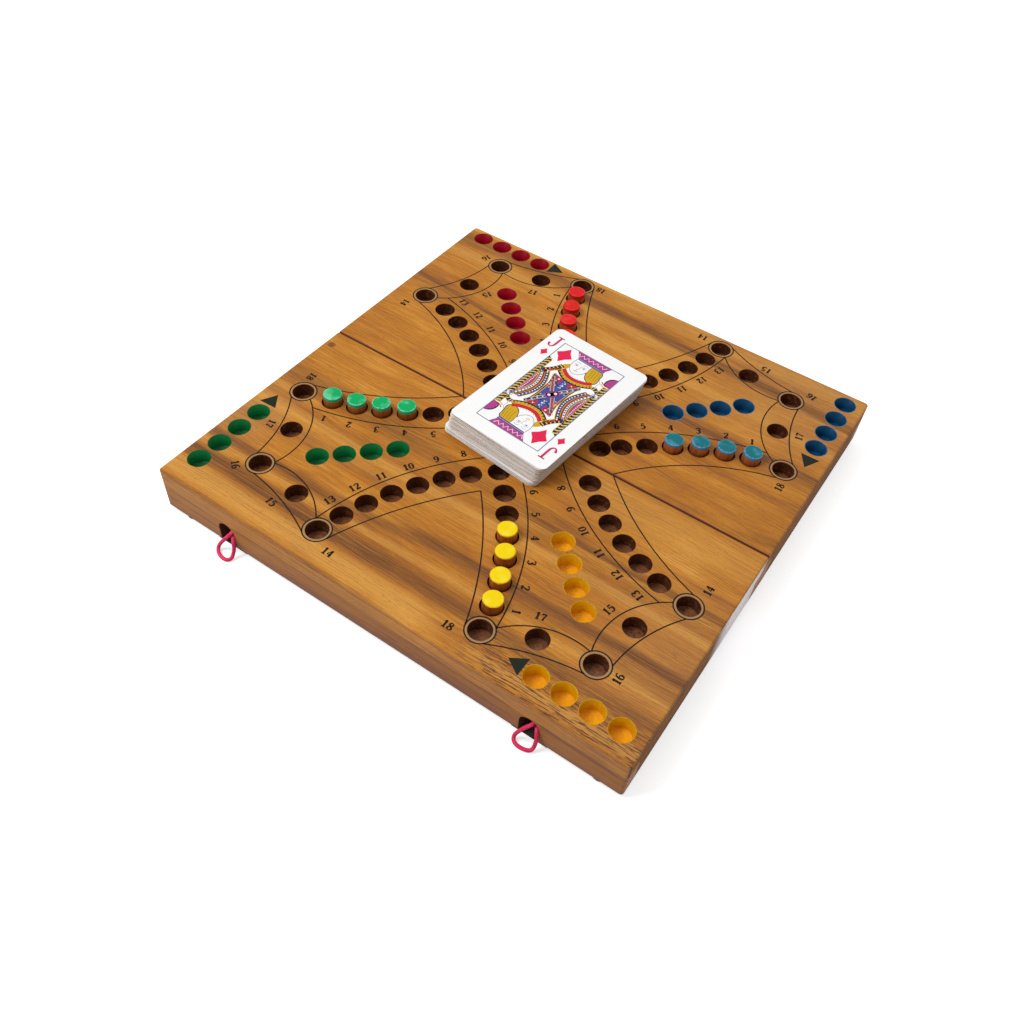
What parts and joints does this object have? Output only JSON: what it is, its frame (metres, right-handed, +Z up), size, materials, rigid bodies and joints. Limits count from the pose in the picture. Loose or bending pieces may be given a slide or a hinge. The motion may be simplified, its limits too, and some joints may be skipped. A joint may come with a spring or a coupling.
{
  "type": "folding tock board game",
  "caption": "Square folding wooden tock board with drilled track, coloured pegs, a pack of playing cards, brass hinges and red elastic closing loops; hollow halves store the pieces.",
  "frame": {"origin": "on the table under the middle of the open board, on the line of the seam between its halves", "axes": "+Z up, +X along the seam to the right, +Y from the front edge, which has the loops, to the back edge"},
  "size_m": [0.255, 0.2626, 0.042],
  "materials": {
    "board_wood": "oiled golden-brown hardwood with dark streaks",
    "rail_wood": "oiled reddish-brown hardwood",
    "felt": "dark felt",
    "brass": "satin",
    "red_elastic": "braided elastic cord",
    "card": "coated card, worn edges",
    "green_peg": "dowel with gloss green painted cap",
    "yellow_peg": "dowel with gloss yellow painted cap",
    "blue_peg": "dowel with gloss blue-green painted cap",
    "red_peg": "dowel with gloss red painted cap"
  },
  "bodies": {
    "front_half": {"front_panel": "board_wood", "front_free_rail": "rail_wood", "front_seam_rail": "rail_wood", "front_left_rail": "rail_wood", "front_right_rail": "rail_wood", "front_feet": "felt", "left_hinge_front_leaf": "brass", "right_hinge_front_leaf": "brass", "left_hinge_pin": "brass", "right_hinge_pin": "brass", "hinge_screws_front": "brass", "closing_loop_left": "red_elastic", "closing_loop_right": "red_elastic", "loop_knots": "red_elastic", "loop_screws": "brass"},
    "back_half": {"back_panel": "board_wood", "back_free_rail": "rail_wood", "back_seam_rail": "rail_wood", "back_left_rail": "rail_wood", "back_right_rail": "rail_wood", "back_feet": "felt", "left_hinge_back_leaf": "brass", "right_hinge_back_leaf": "brass", "hinge_screws_back": "brass", "catch_pins": "brass"},
    "card_pack": {"card_stack": "card"},
    "top_card": {"top_card": "card"},
    "green_peg_1": {"green_peg_1": "green_peg"},
    "green_peg_2": {"green_peg_2": "green_peg"},
    "green_peg_3": {"green_peg_3": "green_peg"},
    "green_peg_4": {"green_peg_4": "green_peg"},
    "yellow_peg_1": {"yellow_peg_1": "yellow_peg"},
    "yellow_peg_2": {"yellow_peg_2": "yellow_peg"},
    "yellow_peg_3": {"yellow_peg_3": "yellow_peg"},
    "yellow_peg_4": {"yellow_peg_4": "yellow_peg"},
    "blue_peg_1": {"blue_peg_1": "blue_peg"},
    "blue_peg_2": {"blue_peg_2": "blue_peg"},
    "blue_peg_3": {"blue_peg_3": "blue_peg"},
    "blue_peg_4": {"blue_peg_4": "blue_peg"},
    "red_peg_1": {"red_peg_1": "red_peg"},
    "red_peg_2": {"red_peg_2": "red_peg"},
    "red_peg_3": {"red_peg_3": "red_peg"},
    "red_peg_4": {"red_peg_4": "red_peg"}
  },
  "joints": [
    {"name": "fold", "type": "hinge", "parent": "front_half", "child": "back_half", "pos_m": [0, 0, 0.0014], "axis": [-1, 0, 0], "range_deg": [0, 180]},
    {"name": "card_pack_lift", "type": "slide", "parent": "front_half", "child": "card_pack", "axis": [0, 0, 1], "range_m": [0, 0.06]},
    {"name": "top_card_lift", "type": "slide", "parent": "card_pack", "child": "top_card", "axis": [0, 0, 1], "range_m": [0, 0.04]},
    {"name": "green_peg_1_lift", "type": "slide", "parent": "front_half", "child": "green_peg_1", "axis": [0, 0, 1], "range_m": [0, 0.02]},
    {"name": "green_peg_2_lift", "type": "slide", "parent": "front_half", "child": "green_peg_2", "axis": [0, 0, 1], "range_m": [0, 0.02]},
    {"name": "green_peg_3_lift", "type": "slide", "parent": "front_half", "child": "green_peg_3", "axis": [0, 0, 1], "range_m": [0, 0.02]},
    {"name": "green_peg_4_lift", "type": "slide", "parent": "front_half", "child": "green_peg_4", "axis": [0, 0, 1], "range_m": [0, 0.02]},
    {"name": "yellow_peg_1_lift", "type": "slide", "parent": "front_half", "child": "yellow_peg_1", "axis": [0, 0, 1], "range_m": [0, 0.02]},
    {"name": "yellow_peg_2_lift", "type": "slide", "parent": "front_half", "child": "yellow_peg_2", "axis": [0, 0, 1], "range_m": [0, 0.02]},
    {"name": "yellow_peg_3_lift", "type": "slide", "parent": "front_half", "child": "yellow_peg_3", "axis": [0, 0, 1], "range_m": [0, 0.02]},
    {"name": "yellow_peg_4_lift", "type": "slide", "parent": "front_half", "child": "yellow_peg_4", "axis": [0, 0, 1], "range_m": [0, 0.02]},
    {"name": "blue_peg_1_lift", "type": "slide", "parent": "back_half", "child": "blue_peg_1", "axis": [0, 0, 1], "range_m": [0, 0.02]},
    {"name": "blue_peg_2_lift", "type": "slide", "parent": "back_half", "child": "blue_peg_2", "axis": [0, 0, 1], "range_m": [0, 0.02]},
    {"name": "blue_peg_3_lift", "type": "slide", "parent": "back_half", "child": "blue_peg_3", "axis": [0, 0, 1], "range_m": [0, 0.02]},
    {"name": "blue_peg_4_lift", "type": "slide", "parent": "back_half", "child": "blue_peg_4", "axis": [0, 0, 1], "range_m": [0, 0.02]},
    {"name": "red_peg_1_lift", "type": "slide", "parent": "back_half", "child": "red_peg_1", "axis": [0, 0, 1], "range_m": [0, 0.02]},
    {"name": "red_peg_2_lift", "type": "slide", "parent": "back_half", "child": "red_peg_2", "axis": [0, 0, 1], "range_m": [0, 0.02]},
    {"name": "red_peg_3_lift", "type": "slide", "parent": "back_half", "child": "red_peg_3", "axis": [0, 0, 1], "range_m": [0, 0.02]},
    {"name": "red_peg_4_lift", "type": "slide", "parent": "back_half", "child": "red_peg_4", "axis": [0, 0, 1], "range_m": [0, 0.02]}
  ]
}
